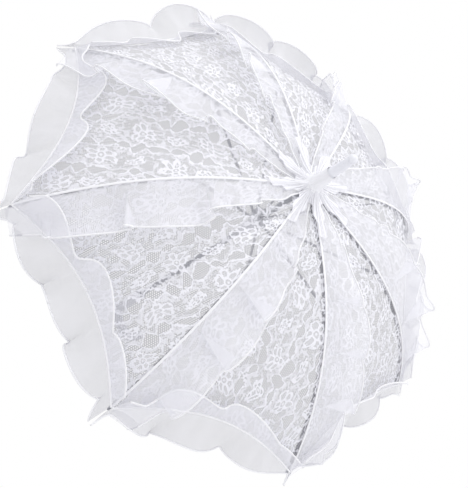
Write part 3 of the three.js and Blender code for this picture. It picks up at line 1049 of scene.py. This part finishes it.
def crook_handle():
    """A rod with a socket in its top, narrowed a little at the grip, and spun half round at its foot."""
    low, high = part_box("handle")
    grip = -low.x
    crook = (high.x + low.x) / 2
    bend = low.z + crook + grip
    socket = 24 * MM
    crown = 1.2 * MM
    shoulder = 0.35 * crown
    wall = [
        (BORE_R, high.z),
        (grip - crown, high.z),
        (grip - shoulder, high.z - shoulder),
        (grip, high.z - crown),
        (grip, high.z - 30 * MM),
        (grip * 0.985, 0.0),
        (grip, bend),
    ]
    tail = 14 * MM
    end = [(grip, tail - crown), (grip - shoulder, tail - shoulder), (grip - crown, tail)]
    piece = first_ring("crook_handle", BORE_R, high.z - socket, 48)
    bpy.ops.mesh.edge_face_add()
    extrude_rings(BORE_R, high.z - socket, wall)
    bpy.ops.mesh.spin(steps=48, angle=math.pi, center=(crook, 0, bend), axis=(0, 1, 0))
    extrude_rings(grip, 0.0, end, x=high.x - grip, base=bend)
    bpy.ops.mesh.edge_face_add()
    close_up()
    stand_for(finish(piece, "plastic"), "handle")


def grip_collar():
    low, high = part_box("handle_collar")
    r = high.x
    neck = r - 2.4 * MM
    soft = 0.5 * MM
    middle = (low.z + high.z) / 2
    outline = [
        (BORE_R, low.z),
        (r - soft, low.z),
        (r, low.z + soft),
        (r, middle - soft),
        (r - soft, middle + soft),
        (neck + soft, high.z - soft),
        (neck, high.z),
        (BORE_R, high.z),
        (BORE_R, low.z),
    ]
    stand_for(turned("grip_collar", outline, "plastic", closed=True), "handle_collar")


class PARASOL_OT_ferrule(Operator):
    """Turn the ferrule and its domed end"""

    bl_idname = "parasol.ferrule"
    bl_label = "Ferrule"

    def execute(self, context):
        ferrule_shell()
        ferrule_cap()
        return {"FINISHED"}


FERRULE_SOFT = 0.6 * MM  # how far the ferrule's corners are rounded off


def ferrule_shell():
    """A tapered tube with a closed top, and two grooves near it."""
    low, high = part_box("ferrule")
    base, top, soft = high.x, 6.1 * MM, FERRULE_SOFT
    straight = 12 * MM
    roof = high.z - 22 * MM
    wall = [(BORE_R, roof), (BORE_R, low.z), (base - soft, low.z), (base, low.z + soft)]
    wall.append((base, low.z + straight))
    groove = 0.5 * MM
    for share in (0.86, 0.90):
        r = base + (top - base) * share
        z = low.z + straight + (high.z - low.z - straight) * share
        wall += [(r, z - 0.8 * MM), (r - groove, z - 0.3 * MM), (r - groove, z + 0.3 * MM), (r, z + 0.8 * MM)]
    wall += [(top, high.z - soft / 2), (top - soft / 2, high.z)]
    stand_for(turned("ferrule_shell", wall, "plastic"), "ferrule")


def ferrule_cap():
    low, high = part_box("ferrule_tip")
    r = high.x
    start = high.z - r
    steps = 12
    cap = [(r - FERRULE_SOFT, low.z), (r, low.z + FERRULE_SOFT), (r, start)]
    for i in range(1, steps):
        a = i / steps * math.pi / 2
        cap.append((r * math.cos(a), start + r * math.sin(a)))
    stand_for(turned("ferrule_cap", cap, "plastic"), "ferrule_tip")


class PARASOL_OT_mechanism(Operator):
    """Finish the shaft, runner, crown notch, catches and wires, rounding the edges of the catches, notch and
    runner
    """

    bl_idname = "parasol.mechanism"
    bl_label = "Shaft and runner"

    def execute(self, context):
        refined("shaft", "chrome")
        for node in ("top_catch", "bottom_catch"):
            refined(node, "chrome", 0.2 * MM)
        for node in ("crown_wire", "runner_wire", "runner_stop_pin"):
            refined(node, "chrome")
        for node in ("crown_notch", "runner"):
            refined(node, "plastic", 0.25 * MM)
        return {"FINISHED"}


def rivet_model():
    """One rivet, its heads rounded in steps, standing on the shaft's axis to be copied."""
    head, shank, length = 1.7 * MM, 0.85 * MM, 5.2 * MM
    profile = [
        (head * 0.5, -2.5 * MM),
        (head * 0.9, -2.3 * MM),
        (head, -1.9 * MM),
        (shank, -1.6 * MM),
        (shank, length - 1.6 * MM),
        (head, length - 1.3 * MM),
        (head * 0.9, length - 0.9 * MM),
        (head * 0.5, length - 0.7 * MM),
    ]
    return turned("rivet_model", profile, "chrome", segments=16)


def rivet(k, model):
    """A copy of the rivet through rib k's joint with its stretcher."""
    r, z, _ = rib_line(JOINT_R, -0.2 * MM)
    lie = Matrix.Rotation(-math.pi / 2, 4, "X")
    turn = Matrix.Rotation(rib_angle(k), 4, "Z") @ Matrix.Translation((r, 0, z)) @ lie
    piece = bpy.data.objects.new(f"rib_rivet_{k + 1}", model.data.copy())
    piece.data.transform(turn)
    bpy.context.scene.collection.objects.link(piece)
    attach(piece, f"rib_{k + 1}")


def tie(k, number, radius):
    """Thread wound three times round rib k and through the lace above it."""
    turns, steps = 3, 16
    above, below, beside = 4.9, 2.3, 2.2 * MM
    r, z, slope = rib_line(radius)
    along = Vector((math.cos(slope), 0, -math.sin(slope)))
    up = Vector((math.sin(slope), 0, math.cos(slope)))
    line = []
    for i in range(turns * steps + 1):
        a = 2 * math.pi * i / steps
        height = math.sin(a) * (above if math.sin(a) > 0 else below) * MM
        p = Vector((r, 0, z)) + along * (i / steps - turns / 2) * MM + up * height
        p.y += math.cos(a) * beside
        line.append(Matrix.Rotation(rib_angle(k), 3, "Z") @ p)
    piece = tube_piece(f"thread_tie_{k + 1}_{number}", line, 0.35 * MM, "thread", 5)
    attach(piece, f"rib_{k + 1}")


class PARASOL_OT_ribs(Operator):
    """Finish the ribs, tips and stretchers, and add their rivets and thread ties"""

    bl_idname = "parasol.ribs"
    bl_label = "Ribs and stretchers"

    def execute(self, context):
        model = rivet_model()
        for k in range(RIBS):
            refined(f"rib_{k + 1}", "dark_steel", 0.6 * MM)
            refined(f"stretcher_{k + 1}", "grey_steel", 0.45 * MM)
            refined(f"rib_tip_{k + 1}", "chrome", 0.3 * MM)
            rivet(k, model)
            for number, radius in enumerate(TIE_R, 1):
                tie(k, number, radius)
        bpy.data.objects.remove(model, do_unlink=True)
        return {"FINISHED"}


# ---------------------------------------------------------------- stage
class PARASOL_OT_stage(Operator):
    """Set up the floor, the lights and the camera"""

    bl_idname = "parasol.stage"
    bl_label = "Stage"

    def execute(self, context):
        stage = settings().stage
        handle_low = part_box("handle")[0].z
        bpy.ops.object.select_all(action="DESELECT")
        bpy.ops.mesh.primitive_plane_add(size=24.0, location=(0, 0, handle_low - stage.floor_drop))
        floor = context.object
        floor.name = "floor"
        bpy.ops.object.transform_apply(location=True, rotation=True, scale=True)
        floor.data.materials.append(floor_material())
        sky()
        area_light("key_light", (-1.4, 1.5, 2.2), (0, 0, 0.5), 1.2, 27.0)
        area_light("fill_light", (1.6, -0.6, 2.2), (0, 0, 0.4), 2.0, 8.0)
        make_camera(stage)
        return {"FINISHED"}


def floor_material():
    made = bpy.data.materials.new("pale_floor")
    made.use_nodes = True
    g = Graph(made.node_tree)
    made.node_tree.nodes.clear()
    seen = g.add("ShaderNodeLightPath", out=0)
    lit = g.add("ShaderNodeBsdfDiffuse", {"Color": (0.85, 0.85, 0.86, 1.0)})
    glow = g.add("ShaderNodeEmission", {"Color": (1.0, 1.0, 1.0, 1.0), "Strength": 1.0})
    both = g.add("ShaderNodeMixShader", {0: seen, 1: lit, 2: glow})
    end = made.node_tree.nodes.new("ShaderNodeOutputMaterial")
    made.node_tree.links.new(both, end.inputs["Surface"])
    return made


def sky():
    """White where the camera sees it; as light, brighter to two sides so that metal and gloss read round."""
    world = bpy.data.worlds.new("studio")
    world.use_nodes = True
    g = Graph(world.node_tree)
    seen = g.add("ShaderNodeLightPath", out=0)
    x, y, _ = g.split(g.add("ShaderNodeTexCoord", out=0))
    side = g.math("ABSOLUTE", g.math("MULTIPLY_ADD", x, 0.8, g.math("MULTIPLY", y, 0.6)))
    light = g.ramp(side, 0.10, 0.62, SKY_STRENGTH * 0.68, SKY_STRENGTH * 1.22)
    background = world.node_tree.nodes["Background"]
    color = g.mix(seen, (*SKY_TINT, 1.0), (1.0, 1.0, 1.0, 1.0))
    g.links.new(color, background.inputs["Color"])
    strength = g.math("MULTIPLY_ADD", seen, g.math("SUBTRACT", 1.0, light), light)
    g.links.new(strength, background.inputs["Strength"])
    bpy.context.scene.world = world
    bpy.context.scene.view_settings.view_transform = "Standard"


def area_light(name, place, target, size, power):
    data = bpy.data.lights.new(name, "AREA")
    data.size = size
    data.energy = power
    lamp = bpy.data.objects.new(name, data)
    lamp.location = place
    lamp.rotation_mode = "QUATERNION"
    lamp.rotation_quaternion = (Vector(target) - Vector(place)).to_track_quat("-Z", "Y")
    bpy.context.scene.collection.objects.link(lamp)


def make_camera(stage):
    """Aim the camera from its azimuth and elevation, then roll it about its own line of sight."""
    a, e, roll = stage.azimuth, stage.elevation, stage.roll
    back = Vector((math.sin(a) * math.cos(e), -math.cos(a) * math.cos(e), math.sin(e)))
    level = Vector((math.cos(a), math.sin(a), 0.0))
    upright = back.cross(level)
    up = upright * math.cos(roll) + level * math.sin(roll)
    right = level * math.cos(roll) - upright * math.sin(roll)
    x, y, z = CAMERA_AIM
    aim = Vector((x, y, APEX_Z + z))
    data = bpy.data.cameras.new("camera")
    data.lens = stage.lens
    data.sensor_width = SENSOR_WIDTH
    camera = bpy.data.objects.new("camera", data)
    turn = Matrix((right, up, back)).transposed().to_4x4()
    camera.matrix_world = Matrix.Translation(aim + back * stage.distance) @ turn
    bpy.context.scene.collection.objects.link(camera)
    bpy.context.scene.camera = camera


class PARASOL_PT_panel(Panel):
    """The buttons that build the parasol, in the 3D view's sidebar"""

    bl_label = "Lace Parasol"
    bl_idname = "PARASOL_PT_panel"
    bl_space_type = "VIEW_3D"
    bl_region_type = "UI"
    bl_category = "Parasol"

    def draw(self, context):
        for operator in OPERATORS:
            self.layout.operator(operator.bl_idname)


OPERATORS = (
    PARASOL_OT_stage,
    PARASOL_OT_lace,
    PARASOL_OT_seam_frills,
    PARASOL_OT_rim_frills,
    PARASOL_OT_trim,
    PARASOL_OT_handle,
    PARASOL_OT_ferrule,
    PARASOL_OT_mechanism,
    PARASOL_OT_ribs,
)
CLASSES = (CanopySettings, FrillSettings, StageSettings, ParasolSettings, *OPERATORS, PARASOL_PT_panel)


def register():
    for cls in CLASSES:
        bpy.utils.register_class(cls)
    bpy.types.Scene.parasol = PointerProperty(type=ParasolSettings)


def unregister():
    del bpy.types.Scene.parasol
    for cls in reversed(CLASSES):
        bpy.utils.unregister_class(cls)


def main():
    register()
    for operator in OPERATORS:
        area, name = operator.bl_idname.split(".")
        getattr(getattr(bpy.ops, area), name)()


if __name__ == "__main__":
    main()
